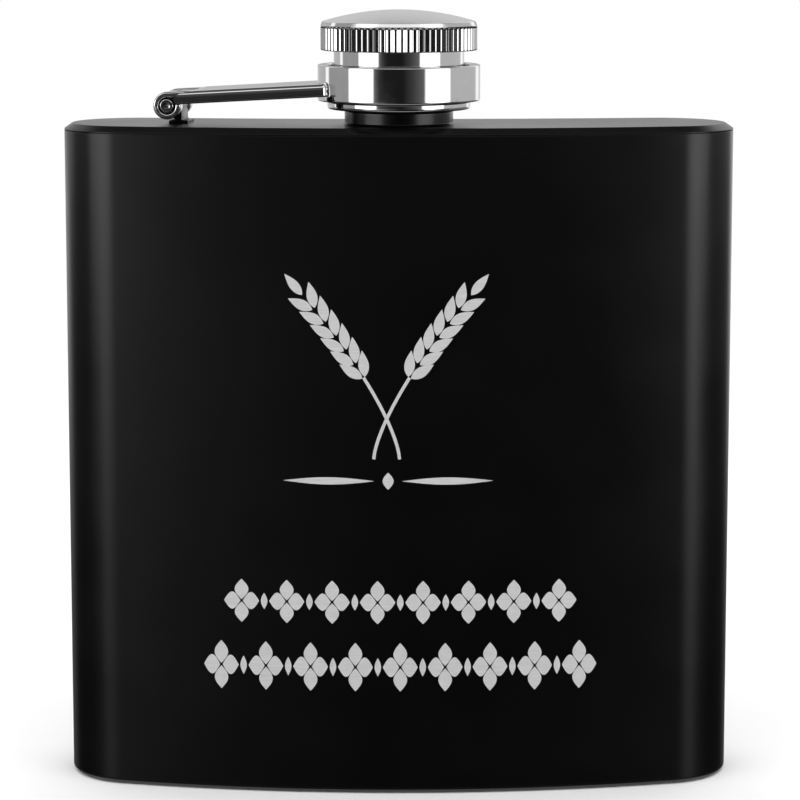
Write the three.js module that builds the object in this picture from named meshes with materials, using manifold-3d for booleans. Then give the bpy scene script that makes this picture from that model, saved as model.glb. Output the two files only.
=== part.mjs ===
// A pocket hip flask: a curved steel body, a threaded neck, and a knurled screw cap held captive in a
// ring on a hinged arm. Millimetres, +Z up. The origin is under the middle of the whole object, on the
// plane that the flask stands on. -Y is the bowed front, and -X is the hinge's side.
import * as THREE from "three";
import { mergeVertices } from "three/addons/utils/BufferGeometryUtils.js";
import Module from "manifold-3d";

const wasm = await Module();
wasm.setup();

// ---- Driving dimensions -------------------------------------------------------------------------

const BODY_WIDTH = 95;
const BODY_HEIGHT = 94; // base to the shoulder's flat top
const BODY_THICKNESS = 22; // through the middle of the section
const FRONT_RADIUS = 172; // the bowed front
const END_RADIUS = 10.2; // the two rounded sides
const SHEET = 0.6; // the body's sheet
const SPIGOT_GAP = 0.1; // between the sleeve and the plates' spigots
const SHOULDER_BEVEL = { inset: 1.2, drop: 0.85, land: 0.15 };
const BASE_BEVEL = { inset: 0.5, drop: 0.5, land: 0.25 };
const SPIGOT_DEPTH = 1.8;

// Heights from here on are above the shoulder's flat top, and radii are from the neck's axis.
const NECK = {
  collarRadius: 7.65,
  collarTop: 2.0,
  rootRadius: 6.35,
  bore: 5.4,
  top: 9.2,
  edge: 0.25, // the collar's and the lip's rounding
  spigotRadius: 6.6,
  spigotBottom: -2.4,
};
const HOLE_RADIUS = 6.9; // in the shoulder, under the collar
const THREAD = {
  pitch: 2.0,
  rise: 0.45, // crest over root, on the neck and in the cap
  halfFoot: 0.72, // half the ridge's height where it stands on the wall
  halfCrest: 0.22,
  buried: 0.15, // how deep the ridge's foot goes into the wall
  fadeTurns: 0.2, // over which the ridge grows at each end
  leastShare: 0.05, // of its rise, at its very ends
  stepsPerTurn: 40,
};
const NECK_THREAD = { start: 3.0, turns: 2.5 };
const CAP_THREAD = { start: 3.6, turns: 2.4 };

const CAP = {
  radius: 11.0, // over the knurling's crests
  rootRadius: 10.62,
  teeth: 80,
  toothCorners: [0.1, 0.4, 0.6, 0.9], // shares of a tooth's pitch: two at the crest, two at the root
  crestOverlap: 0.05,
  skirtBottom: 10.36,
  skirtTop: 13.95,
  apex: 16.0,
  domeRadius: 36.5,
  domeEdge: 10.45,
  wall: 0.8,
  edge: 0.15,
  bead: 0.28, // height of the rounding between the knurling and the dome
  lipRadius: 9.4, // the crimped lip that holds the sleeve
  lipHeight: 0.5,
};
const SLEEVE = {
  radius: 9.18,
  bore: 8.5,
  bottom: 2.13,
  flangeRadius: 10.07,
  flangeTop: 3.15,
  headRadius: 9.95,
  headBottom: 10.95,
  headTop: 11.55,
  edge: 0.45, // the flange's lower rounding
};
const LINER = { radius: 8.4, bore: 7.9, bottom: 2.5, ceiling: 10.65, top: 11.5 };
const GASKET = { radius: 7.7, bottom: 9.4, top: 10.6 };
const RING = {
  radius: 11.44,
  bore: 10.15,
  lipRadius: 9.5,
  lipTop: 4.2,
  bottom: 3.3,
  top: 8.35,
  edge: 0.25,
};

const HINGE_REACH = 32.2; // neck's axis to the pin's axis
const HINGE_SKEW = THREE.MathUtils.degToRad(6); // the arm lies back along the curved shoulder
const PIN = { radius: 0.95, height: 2.6, halfLength: 5.3, chamfer: 0.2 };
const KNUCKLE = { bore: 1.05, armRadius: 1.95, bracketRadius: 1.75 };
const ARM = {
  sheet: 0.8,
  halfWidth: 6.1,
  riseAtRing: 5.75, // top of the arm where it meets the ring
  flangeDepth: 1.8,
  knuckleInner: 2.9,
  knuckleOuter: 5.2,
  slotReach: 3.3, // how far from the pin the slot for the bracket starts
  tongueReach: 1.1, // how far from the pin the side flanges end
  tongue: { slope: 2.6, shoulder: 0.9, top: 0.75, drop: 0.35, edge: 0.2 },
  lap: 2, // how far the strap is drawn into the ring before the ring's hole is cut
  curlEnd: THREE.MathUtils.degToRad(375),
};
const TRIM = { height: 12, beyond: 5, side: 1 }; // cutting blocks, past what they cut
const SADDLE = { halfAngle: THREE.MathUtils.degToRad(38), thickness: 0.7, bottom: 3.95, top: 6.3 };
const RING_GAP = 0.1; // brazing gap between saddle and ring
const BRACKET = {
  halfWidth: 2.6,
  legFrom: 0.55,
  legTo: 1.65,
  footFrom: -0.2,
  footTo: 2.5,
  footThickness: 0.4,
};

const ROUND = 64; // sides of the turned pieces
const FINE_ROUND = 96; // sides of the ring and the cap

// ---- The body's section, worked out from the driving dimensions ----------------------------------

const endX = BODY_WIDTH / 2 - END_RADIUS;
const frontCentreY = -BODY_THICKNESS / 2 + FRONT_RADIUS;
const endY = frontCentreY - Math.sqrt((FRONT_RADIUS - END_RADIUS) ** 2 - endX ** 2);
const backReach = BODY_THICKNESS / 2 - endY; // from the end centres to the back's middle
const backRadius = (END_RADIUS ** 2 - endX ** 2 - backReach ** 2) / (2 * (backReach - END_RADIUS));
const backCentreY = BODY_THICKNESS / 2 + backRadius;
// The ring stands a little proud of the front, and the two rounded ends reach furthest back.
const neckY = -(endY + END_RADIUS - RING.radius) / 2;

function arc(cx, cy, radius, from, to, steps) {
  const points = [];
  for (let i = 0; i < steps; i++) {
    const a = from + ((to - from) * i) / steps;
    points.push(new THREE.Vector2(cx + radius * Math.cos(a), cy + radius * Math.sin(a)));
  }
  return points;
}

// The kidney-shaped section, anticlockwise, moved inwards by inset.
function section(inset) {
  const frontTilt = Math.asin(endX / (FRONT_RADIUS - END_RADIUS));
  const backTilt = Math.asin(endX / (backRadius + END_RADIUS));
  const down = -Math.PI / 2;
  return [
    ...arc(0, frontCentreY, FRONT_RADIUS - inset, down - frontTilt, down + frontTilt, 28),
    ...arc(endX, endY, END_RADIUS - inset, down + frontTilt, -down + backTilt, 22),
    ...arc(0, backCentreY, backRadius + inset, down + backTilt, down - backTilt, 20),
    ...arc(-endX, endY, END_RADIUS - inset, -down - backTilt, down - frontTilt + 2 * Math.PI, 22),
  ];
}

// ---- Geometry helpers -----------------------------------------------------------------------------

function geometryOf(positions, indices) {
  const geometry = new THREE.BufferGeometry();
  geometry.setAttribute("position", new THREE.Float32BufferAttribute(positions, 3));
  geometry.setIndex(indices);
  return geometry;
}

// A closed surface through rings of points, all with one point count: capped at both ends, or closed
// on itself. The rings run anticlockwise as seen from above when they are stacked upwards.
function loft(rings, capped) {
  const count = rings[0].length;
  const positions = rings.flat().flatMap((p) => [p.x, p.y, p.z]);
  const indices = [];
  const bands = capped ? rings.length - 1 : rings.length;
  for (let j = 0; j < bands; j++) {
    const low = j * count;
    const high = ((j + 1) % rings.length) * count;
    for (let i = 0; i < count; i++) {
      const next = (i + 1) % count;
      indices.push(low + i, low + next, high + next, low + i, high + next, high + i);
    }
  }
  if (capped) {
    const last = (rings.length - 1) * count;
    const flat = (ring) => ring.map((p) => new THREE.Vector2(p.x, p.y));
    for (const [a, b, c] of THREE.ShapeUtils.triangulateShape(flat(rings[0]), [])) indices.push(c, b, a);
    for (const [a, b, c] of THREE.ShapeUtils.triangulateShape(flat(rings.at(-1)), [])) {
      indices.push(last + a, last + b, last + c);
    }
  }
  return geometryOf(positions, indices);
}

// The section carried through [inset, height] pairs.
function kidney(profile, capped) {
  const rings = profile.map(([inset, z]) => section(inset).map((p) => new THREE.Vector3(p.x, p.y, z)));
  return loft(rings, capped);
}

// A turned piece from [radius, height] pairs that run anticlockwise: up the outside, down the inside.
function turned(profile, sides = ROUND) {
  const points = profile.map(([r, z]) => new THREE.Vector2(r, z));
  if (profile[0][0] > 0) points.push(points[0].clone());
  return new THREE.LatheGeometry(points, sides).rotateX(Math.PI / 2);
}

const extruded = (shape, depth) => new THREE.ExtrudeGeometry(shape, { depth, bevelEnabled: false });

// A shape drawn in X and Z, made solid between two values of Y.
function acrossY(shape, from, to) {
  return extruded(shape, to - from).rotateX(Math.PI / 2).translate(0, to, 0);
}

function solid(geometry) {
  const bare = geometry.clone();
  bare.deleteAttribute("normal");
  bare.deleteAttribute("uv");
  const merged = mergeVertices(bare, 1e-4);
  const mesh = new wasm.Mesh({
    numProp: 3,
    vertProperties: new Float32Array(merged.attributes.position.array),
    triVerts: new Uint32Array(merged.index.array),
  });
  return new wasm.Manifold(mesh);
}

function geometry(manifold) {
  const mesh = manifold.getMesh();
  const made = geometryOf(Array.from(mesh.vertProperties), Array.from(mesh.triVerts));
  made.computeVertexNormals();
  return made;
}

const cylinder = (radius, from, to, sides = ROUND) =>
  turned([[0, from], [radius, from], [radius, to], [0, to]], sides);

// A screw thread's ridge: a three-sided section that winds up round the Z axis and fades at both ends.
// foot is the radius that it stands on, and rise is positive outwards and negative inwards.
function ridge(foot, rise, { start, turns }) {
  const { pitch, halfFoot, halfCrest, buried, fadeTurns, leastShare, stepsPerTurn } = THREAD;
  const steps = Math.round(turns * stepsPerTurn);
  const fade = fadeTurns * stepsPerTurn;
  const root = foot - buried * Math.sign(rise);
  const rings = [];
  for (let i = 0; i <= steps; i++) {
    const angle = (2 * Math.PI * i) / stepsPerTurn;
    const height = start + (pitch * i) / stepsPerTurn;
    const share = Math.max(leastShare, Math.min(1, i / fade, (steps - i) / fade));
    const crest = foot + rise * share;
    const corners = [[root, -halfFoot], [crest, -halfCrest], [crest, halfCrest], [root, halfFoot]];
    if (rise > 0) corners.reverse();
    rings.push(
      corners.map(([r, z]) => new THREE.Vector3(r * Math.cos(angle), r * Math.sin(angle), height + z)),
    );
  }
  const positions = rings.flat().flatMap((p) => [p.x, p.y, p.z]);
  const side = loft(rings, false).index.array;
  const n = rings[0].length;
  const walls = Array.from(side.slice(0, (rings.length - 1) * n * 6));
  const last = (rings.length - 1) * n;
  const ends = [0, 2, 1, 0, 3, 2, last, last + 1, last + 2, last, last + 2, last + 3];
  return geometryOf(positions, [...walls, ...ends]);
}

// ---- Materials ------------------------------------------------------------------------------------

const blackCoat = new THREE.MeshStandardMaterial({ color: 0x161616, roughness: 0.5, metalness: 0.2 });
const polishedSteel = new THREE.MeshStandardMaterial({ color: 0xd6d6d8, roughness: 0.08, metalness: 1 });
const brushedSteel = new THREE.MeshStandardMaterial({ color: 0xc6c5c5, roughness: 0.3, metalness: 1 });
const whitePlastic = new THREE.MeshStandardMaterial({ color: 0xe6e4de, roughness: 0.5, metalness: 0 });
const silicone = new THREE.MeshStandardMaterial({ color: 0xd8d4ca, roughness: 0.7, metalness: 0 });

// ---- Body -----------------------------------------------------------------------------------------

// The wrapped sleeve, open at both ends.
function bodySleeve() {
  const bottom = BASE_BEVEL.drop + BASE_BEVEL.land;
  const top = BODY_HEIGHT - SHOULDER_BEVEL.drop - SHOULDER_BEVEL.land;
  return kidney([[0, bottom], [0, top], [SHEET, top], [SHEET, bottom]], false);
}

// A pressed end plate: a bevelled rim that meets the sleeve's edge, and a spigot inside the sleeve.
function endPlate(outerFace, into, bevel) {
  const seam = outerFace + into * (bevel.drop + bevel.land);
  const spigot = SHEET + SPIGOT_GAP;
  const spigotEnd = seam + into * SPIGOT_DEPTH;
  const innerFace = outerFace + into * ARM.sheet;
  const profile = [
    [bevel.inset, outerFace],
    [0, outerFace + into * bevel.drop],
    [0, seam],
    [spigot, seam],
    [spigot, spigotEnd],
    [spigot + SHEET, spigotEnd],
    [spigot + SHEET, innerFace],
  ];
  return kidney(into > 0 ? profile : profile.reverse(), true);
}

function topPlate() {
  const plate = solid(endPlate(BODY_HEIGHT, -1, SHOULDER_BEVEL));
  const drill = cylinder(HOLE_RADIUS, BODY_HEIGHT - TRIM.beyond, BODY_HEIGHT + TRIM.beyond);
  return geometry(plate.subtract(solid(drill)));
}

function basePlate() {
  return endPlate(0, 1, BASE_BEVEL);
}

function neck() {
  const { collarRadius, collarTop, rootRadius, bore, top, edge, spigotRadius, spigotBottom } = NECK;
  const tube = turned([
    [bore, spigotBottom],
    [spigotRadius, spigotBottom],
    [spigotRadius, 0],
    [collarRadius, 0],
    [collarRadius, collarTop - edge],
    [collarRadius - edge, collarTop],
    [rootRadius, collarTop],
    [rootRadius, top - edge],
    [rootRadius - edge, top],
    [bore + edge, top],
    [bore, top - edge],
  ]);
  return geometry(solid(tube).add(solid(ridge(rootRadius, THREAD.rise, NECK_THREAD))));
}

// ---- Hinge and arm, drawn with the arm along X and the pin along Y ---------------------------------

const pinX = -HINGE_REACH;

function hingePin() {
  const { radius, halfLength, chamfer } = PIN;
  const profile = [
    [0, -halfLength],
    [radius - chamfer, -halfLength],
    [radius, -halfLength + chamfer],
    [radius, halfLength - chamfer],
    [radius - chamfer, halfLength],
    [0, halfLength],
  ];
  return turned(profile, 32).rotateX(Math.PI / 2).translate(pinX, 0, PIN.height);
}

function drilled(body, halfLength) {
  const drill = cylinder(KNUCKLE.bore, -halfLength, halfLength, 32).rotateX(Math.PI / 2);
  return body.subtract(solid(drill.translate(pinX, 0, PIN.height)));
}

// A folded strip: an eye round the pin, a doubled leg, and two feet welded to the shoulder.
function hingeBracket() {
  const { halfWidth, legFrom, legTo, footFrom, footTo, footThickness } = BRACKET;
  const box = (from, to, height) =>
    new THREE.BoxGeometry(to - from, 2 * halfWidth, height).translate(pinX + (from + to) / 2, 0, height / 2);
  const eye = cylinder(KNUCKLE.bracketRadius, -halfWidth, halfWidth, 32).rotateX(Math.PI / 2);
  const body = solid(eye.translate(pinX, 0, PIN.height))
    .add(solid(box(legFrom, legTo, PIN.height)))
    .add(solid(box(footFrom, footTo, footThickness)));
  return geometry(drilled(body, 2 * halfWidth));
}

// The arm's top line runs from the ring to its tangent on the curl round the pin.
const armSlope = (() => {
  const run = HINGE_REACH - RING.radius;
  const rise = ARM.riseAtRing - PIN.height;
  const span = Math.hypot(run, rise);
  return Math.atan2(rise, run) - Math.asin(KNUCKLE.armRadius / span);
})();
const armTopAt = (x) => ARM.riseAtRing + (x + RING.radius) * Math.tan(armSlope);

const ringEnd = -RING.radius + ARM.lap;

function strapShape() {
  const tangent = Math.PI / 2 + armSlope;
  const curl = (radius, from, to) => arc(pinX, PIN.height, radius, from, to, 22);
  const inner = KNUCKLE.armRadius - ARM.sheet;
  return new THREE.Shape([
    new THREE.Vector2(ringEnd, armTopAt(ringEnd)),
    ...curl(KNUCKLE.armRadius, tangent, ARM.curlEnd),
    ...curl(inner, ARM.curlEnd, tangent),
    new THREE.Vector2(ringEnd, armTopAt(ringEnd) - ARM.sheet / Math.cos(armSlope)),
  ]);
}

function flangeShape() {
  const { slope, shoulder, top, drop, edge } = ARM.tongue;
  const tip = pinX + ARM.tongueReach;
  const under = (x) => armTopAt(x) - ARM.flangeDepth;
  return new THREE.Shape([
    new THREE.Vector2(ringEnd, armTopAt(ringEnd)),
    new THREE.Vector2(tip + slope, armTopAt(tip + slope)),
    new THREE.Vector2(tip + shoulder, armTopAt(tip) - drop),
    new THREE.Vector2(tip, armTopAt(tip) - top),
    new THREE.Vector2(tip, under(tip) + edge),
    new THREE.Vector2(tip + edge, under(tip)),
    new THREE.Vector2(ringEnd, under(ringEnd)),
  ]);
}

// The curved plate that is brazed to the ring.
function saddle() {
  const inner = RING.radius + RING_GAP;
  const outer = inner + SADDLE.thickness;
  const middle = Math.PI;
  const shape = new THREE.Shape([
    ...arc(0, 0, outer, middle - SADDLE.halfAngle, middle + SADDLE.halfAngle, 24),
    ...arc(0, 0, inner, middle + SADDLE.halfAngle, middle - SADDLE.halfAngle, 24),
  ]);
  return extruded(shape, SADDLE.top - SADDLE.bottom).translate(0, 0, SADDLE.bottom);
}

function lidArm() {
  const { halfWidth, sheet, knuckleInner, knuckleOuter, slotReach } = ARM;
  const strap = solid(acrossY(strapShape(), -halfWidth, halfWidth));
  const flanges = [-halfWidth, halfWidth - sheet].map((y) => solid(acrossY(flangeShape(), y, y + sheet)));
  const block = (from, to, y0, y1) => {
    const box = new THREE.BoxGeometry(to - from, y1 - y0, TRIM.height);
    return solid(box.translate((from + to) / 2, (y0 + y1) / 2, PIN.height));
  };
  const beyond = pinX - TRIM.beyond;
  const slot = block(beyond, pinX + slotReach, -knuckleInner, knuckleInner);
  const trims = [-1, 1].map((side) => {
    const near = side * knuckleOuter;
    const far = side * (halfWidth + TRIM.side);
    return block(beyond, pinX + slotReach, Math.min(near, far), Math.max(near, far));
  });
  let body = trims.reduce((left, trim) => left.subtract(trim), strap.subtract(slot));
  body = flanges.reduce((sum, flange) => sum.add(flange), body);
  const ringHole = solid(cylinder(RING.radius + RING_GAP, 0, TRIM.height, FINE_ROUND));
  body = body.subtract(ringHole).add(solid(saddle()));
  return geometry(drilled(body, 2 * halfWidth));
}

// The ring has a lip turned in at the bottom, which the cap's flange holds.
function retainingRing() {
  const { radius, bore, lipRadius, lipTop, bottom, top, edge } = RING;
  return turned(
    [
      [lipRadius, bottom + edge],
      [lipRadius + edge, bottom],
      [radius - edge, bottom],
      [radius, bottom + edge],
      [radius, top - edge],
      [radius - edge, top],
      [bore + edge, top],
      [bore, top - edge],
      [bore, lipTop],
      [lipRadius, lipTop],
    ],
    FINE_ROUND,
  );
}

// ---- Cap -------------------------------------------------------------------------------------------

const domeSteps = [1, 0.8, 0.6, 0.4, 0.2, 0]; // shares of the dome's edge radius
const domeAt = (r) => CAP.apex - CAP.domeRadius + Math.sqrt(CAP.domeRadius ** 2 - r ** 2);

// The straight knurling's outline, with its crests just outside the shell's wall.
function knurlShape() {
  const { radius, rootRadius, teeth, crestOverlap, toothCorners } = CAP;
  const outline = [];
  for (let i = 0; i < teeth; i++) {
    toothCorners.forEach((share, corner) => {
      const r = corner < 2 ? radius + crestOverlap : rootRadius;
      const a = (2 * Math.PI * (i + share)) / teeth;
      outline.push(new THREE.Vector2(r * Math.cos(a), r * Math.sin(a)));
    });
  }
  return new THREE.Shape(outline);
}

// The drawn outer shell: a shallow dome, a knurled wall, and a lip crimped in under the sleeve's head.
function capShell() {
  const { radius, rootRadius, skirtBottom, skirtTop, domeEdge, wall, edge, lipRadius, lipHeight } = CAP;
  const innerWall = rootRadius - wall / 2;
  const ceiling = domeAt(innerWall) - wall;
  const body = turned(
    [
      [lipRadius, skirtBottom],
      [radius - edge, skirtBottom],
      [radius, skirtBottom + edge],
      [radius, skirtTop],
      [radius - edge, skirtTop + CAP.bead],
      ...domeSteps.map((share) => [domeEdge * share, domeAt(domeEdge * share)]),
      [0, ceiling],
      [innerWall, ceiling],
      [innerWall, skirtBottom + lipHeight],
      [lipRadius, skirtBottom + lipHeight],
    ],
    FINE_ROUND,
  );
  const beyond = TRIM.side;
  const splines = extruded(knurlShape(), CAP.apex - skirtBottom);
  const crown = cylinder(radius + beyond, skirtTop, CAP.apex + beyond, FINE_ROUND);
  const cutter = solid(splines.translate(0, 0, skirtBottom - beyond)).add(solid(crown));
  return geometry(solid(body).intersect(cutter));
}

// The metal sleeve that passes through the ring: a flange below it, and a head inside the shell.
function capSleeve() {
  const { radius, bore, bottom, flangeRadius, flangeTop, headRadius, headBottom, headTop, edge } = SLEEVE;
  const corner = arc(flangeRadius - edge, bottom + edge, edge, -Math.PI / 2, 0, 4);
  return turned([
    [bore, bottom],
    ...corner.map((p) => [p.x, p.y]),
    [flangeRadius, bottom + edge],
    [flangeRadius, flangeTop],
    [radius, flangeTop],
    [radius, headBottom],
    [headRadius, headBottom],
    [headRadius, headTop],
    [bore, headTop],
  ]);
}

function threadLiner() {
  const { radius, bore, bottom, ceiling, top } = LINER;
  const cup = turned([
    [0, ceiling],
    [bore, ceiling],
    [bore, bottom],
    [radius, bottom],
    [radius, top],
    [0, top],
  ]);
  return geometry(solid(cup).add(solid(ridge(bore, -THREAD.rise, CAP_THREAD))));
}

function capGasket() {
  return cylinder(GASKET.radius, GASKET.bottom, GASKET.top);
}

// ---- Assembly --------------------------------------------------------------------------------------

function piece(name, shape, material) {
  const mesh = new THREE.Mesh(shape, material);
  mesh.name = name;
  return mesh;
}

const body = new THREE.Group();
body.position.set(0, neckY, 0);
body.add(piece("body_sleeve", bodySleeve(), blackCoat));
body.add(piece("top_plate", topPlate(), blackCoat));
body.add(piece("base_plate", basePlate(), blackCoat));

const neckAxis = new THREE.Group();
neckAxis.position.set(0, neckY, BODY_HEIGHT);
neckAxis.add(piece("neck", neck(), blackCoat));

const hinge = new THREE.Group();
hinge.rotation.z = -HINGE_SKEW;
hinge.add(piece("hinge_bracket", hingeBracket(), blackCoat));
hinge.add(piece("hinge_pin", hingePin(), polishedSteel));
hinge.add(piece("lid_arm", lidArm(), polishedSteel));
hinge.add(piece("retaining_ring", retainingRing(), polishedSteel));
neckAxis.add(hinge);

const cap = new THREE.Group();
cap.add(piece("cap_shell", capShell(), brushedSteel));
cap.add(piece("cap_sleeve", capSleeve(), polishedSteel));
cap.add(piece("thread_liner", threadLiner(), whitePlastic));
cap.add(piece("cap_gasket", capGasket(), silicone));
neckAxis.add(cap);

const flask = new THREE.Group();
flask.add(body, neckAxis);

export default flask;
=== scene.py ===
import math

import bmesh
import bpy
from mathutils import Matrix, Vector


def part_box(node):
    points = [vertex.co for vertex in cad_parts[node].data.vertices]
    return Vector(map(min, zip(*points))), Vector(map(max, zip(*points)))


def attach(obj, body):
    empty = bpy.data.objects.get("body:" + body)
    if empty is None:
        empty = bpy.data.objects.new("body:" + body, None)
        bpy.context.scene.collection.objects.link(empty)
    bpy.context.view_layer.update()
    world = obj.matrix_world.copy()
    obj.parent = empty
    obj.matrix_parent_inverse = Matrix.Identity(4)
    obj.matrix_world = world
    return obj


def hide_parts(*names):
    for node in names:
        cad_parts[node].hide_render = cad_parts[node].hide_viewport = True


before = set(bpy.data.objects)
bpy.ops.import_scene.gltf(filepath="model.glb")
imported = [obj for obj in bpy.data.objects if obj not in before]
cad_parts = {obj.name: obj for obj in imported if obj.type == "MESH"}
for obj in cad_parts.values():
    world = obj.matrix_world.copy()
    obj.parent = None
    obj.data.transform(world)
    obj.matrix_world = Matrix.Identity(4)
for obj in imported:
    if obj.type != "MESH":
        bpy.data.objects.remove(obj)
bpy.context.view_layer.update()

# A pocket hip flask's looks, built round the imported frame. Piece sizes are in millimetres, as the
# design's are, and every mesh is scaled to metres as it is made. Heights on the cap, neck and hinge are
# above the shoulder's flat top, and radii there are from the neck's axis.

MM = 0.001

NECK_LOW, NECK_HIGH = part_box("neck")
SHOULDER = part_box("top_plate")[1].z / MM
NECK_Y = (NECK_LOW.y + NECK_HIGH.y) / 2 / MM
BODY_HALF_WIDTH = 47.5

# ---- The body's section -------------------------------------------------------------------------

THICKNESS = 22.0
FRONT_RADIUS = 172.0
END_RADIUS = 10.2
SHEET = 0.6
ARC_STEPS = {"front": 160, "end": 72, "back": 120}

END_X = BODY_HALF_WIDTH - END_RADIUS
FRONT_CENTRE = FRONT_RADIUS - THICKNESS / 2
END_Y = FRONT_CENTRE - math.sqrt((FRONT_RADIUS - END_RADIUS) ** 2 - END_X**2)
BACK_REACH = THICKNESS / 2 - END_Y
BACK_RADIUS = (END_RADIUS**2 - END_X**2 - BACK_REACH**2) / (2 * (BACK_REACH - END_RADIUS))
BACK_CENTRE = THICKNESS / 2 + BACK_RADIUS
FRONT_TILT = math.asin(END_X / (FRONT_RADIUS - END_RADIUS))
BACK_TILT = math.asin(END_X / (BACK_RADIUS + END_RADIUS))

# ---- Neck, cap and ring -------------------------------------------------------------------------

PITCH = 2.0
THREAD_RISE = 0.45
DOME = {"apex": 16.0, "radius": 36.5, "edge": 10.5}
KNURL = {"radius": 11.0, "depth": 0.19, "teeth": 80, "bottom": 10.36, "top": 13.55, "fade": 0.25}
RING_RADIUS = 11.44
TURN_STEPS = 256
COLUMNS_PER_TOOTH = 12
ON_AXIS = 1e-6  # a radius below this is a point on the axis
SAME_WALL = 1e-4  # a radius this near a wall's is on that wall

# Threads. A start is the height of the ridge's middle where it begins.
THREAD_HALF_FOOT = 0.66
THREAD_FLANK = 0.42
THREAD_FADE = 0.2  # turns
THREAD_ROW = 0.09  # height between rows of points on a threaded wall
NECK_THREAD = {"start": 3.0, "turns": 2.5}
LINER_THREAD = {"start": 3.6, "turns": 2.4}

# ---- Hinge --------------------------------------------------------------------------------------

HINGE_REACH = 32.2
HINGE_SKEW = math.radians(6)
PIN_HEIGHT = 2.6
PIN_X = -HINGE_REACH
KNUCKLE_RADIUS = 1.95
KNUCKLE_SPAN = (2.9, 5.2)  # a knuckle's inner and outer ends, from the arm's middle
STRAP = 0.8
ARM_HALF_WIDTH = 6.1
ARM_WIDENING = 0.4  # what each side gains by the ring
ARM_TAPER_RUN = 13.0
ARM_TOP_AT_RING = 5.75
ARM_DEPTH = 1.8
FLARE = 0.12  # how far each flange leans out at its lip


# ---- Mesh helpers -------------------------------------------------------------------------------


def arc(cx, cy, radius, start, end, steps):
    """Points along an arc, with its last point left out."""
    angles = [start + (end - start) * i / steps for i in range(steps)]
    return [(cx + radius * math.cos(a), cy + radius * math.sin(a)) for a in angles]


def section(inset):
    """The body's kidney-shaped section, anticlockwise, moved inwards by inset."""
    down = -math.pi / 2
    up = math.pi / 2
    ends = END_RADIUS - inset
    steps = ARC_STEPS
    return (
        arc(0, FRONT_CENTRE, FRONT_RADIUS - inset, down - FRONT_TILT, down + FRONT_TILT, steps["front"])
        + arc(END_X, END_Y, ends, down + FRONT_TILT, up + BACK_TILT, steps["end"])
        + arc(0, BACK_CENTRE, BACK_RADIUS + inset, down + BACK_TILT, down - BACK_TILT, steps["back"])
        + arc(-END_X, END_Y, ends, up - BACK_TILT, 3 * up - FRONT_TILT, steps["end"])
    )


def soften(corners, closed, steps=6):
    """Rounds an outline's corners, each (u, v, radius).

    A guard point beside each arc keeps flat faces flat.
    """
    most_cut, guard_share = 0.34, 0.4
    path = []
    for i, (u, v, radius) in enumerate(corners):
        here = Vector((u, v))
        if radius == 0 or (not closed and i in (0, len(corners) - 1)):
            path.append(here)
            continue
        before = Vector(corners[i - 1][:2]) - here
        after = Vector(corners[(i + 1) % len(corners)][:2]) - here
        half = before.angle(after) / 2
        cut = min(radius / math.tan(half), most_cut * before.length, most_cut * after.length)
        before.normalize()
        after.normalize()
        centre = here + (before + after).normalized() * (cut / math.cos(half))
        first = here + before * cut - centre
        turn = first.angle_signed(here + after * cut - centre)
        path.append(here + before * cut * (1 + guard_share))
        for k in range(steps + 1):
            a = -turn * k / steps
            across = first.x * math.cos(a) - first.y * math.sin(a)
            upward = first.x * math.sin(a) + first.y * math.cos(a)
            path.append(centre + Vector((across, upward)))
        path.append(here + after * cut * (1 + guard_share))
    return [(p.x, p.y) for p in path]


def closed_mesh(name, points, faces, place=None):
    """A mesh object from points in millimetres, with its faces turned outwards."""
    mesh = bpy.data.meshes.new(name)
    mesh.from_pydata([Vector(p) * MM for p in points], [], faces)
    if place is not None:
        mesh.transform(place)
    turn_out(mesh)
    made = bpy.data.objects.new(name, mesh)
    bpy.context.scene.collection.objects.link(made)
    return made


def turn_out(mesh):
    bm = bmesh.new()
    bm.from_mesh(mesh)
    bmesh.ops.recalc_face_normals(bm, faces=bm.faces)
    bm.to_mesh(mesh)
    bm.free()


def loft(name, rings, capped, place=None):
    """A surface through rings of points: capped at both ends, or closed on itself."""
    count = len(rings[0])
    faces = []
    bands = len(rings) - 1 if capped else len(rings)
    for j in range(bands):
        low = j * count
        high = (j + 1) % len(rings) * count
        for i in range(count):
            n = (i + 1) % count
            faces.append((low + i, low + n, high + n, high + i))
    if capped:
        faces.append(tuple(range(count)))
        faces.append(tuple(range((len(rings) - 1) * count, len(rings) * count)))
    return closed_mesh(name, [p for ring in rings for p in ring], faces, place)


def kidney(name, profile, capped):
    """The body's section carried through (inset, height) pairs."""
    rings = [[(x, y + NECK_Y, z) for x, y in section(inset)] for inset, z in profile]
    return loft(name, rings, capped)


def lathe(name, profile, columns=TURN_STEPS, reshape=None, place=None):
    """A turned piece from (radius, height) pairs. Ends on the axis are closed with a fan of faces."""
    points, rows = [], []
    for r, z in profile:
        if r < ON_AXIS:
            rows.append([len(points)] * columns)
            points.append((0, 0, z))
            continue
        rows.append(list(range(len(points), len(points) + columns)))
        for i in range(columns):
            a = 2 * math.pi * i / columns
            radius = reshape(r, z, a) if reshape else r
            points.append((radius * math.cos(a), radius * math.sin(a), z))
    on_axis = profile[0][0] < ON_AXIS
    pairs = list(zip(rows, rows[1:])) + ([] if on_axis else [(rows[-1], rows[0])])
    faces = []
    for low, high in pairs:
        for i in range(columns):
            n = (i + 1) % columns
            corners = (low[i], low[n], high[n], high[i])
            faces.append(tuple(dict.fromkeys(corners)))
    return closed_mesh(name, points, faces, place or NECK_PLACE)


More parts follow.
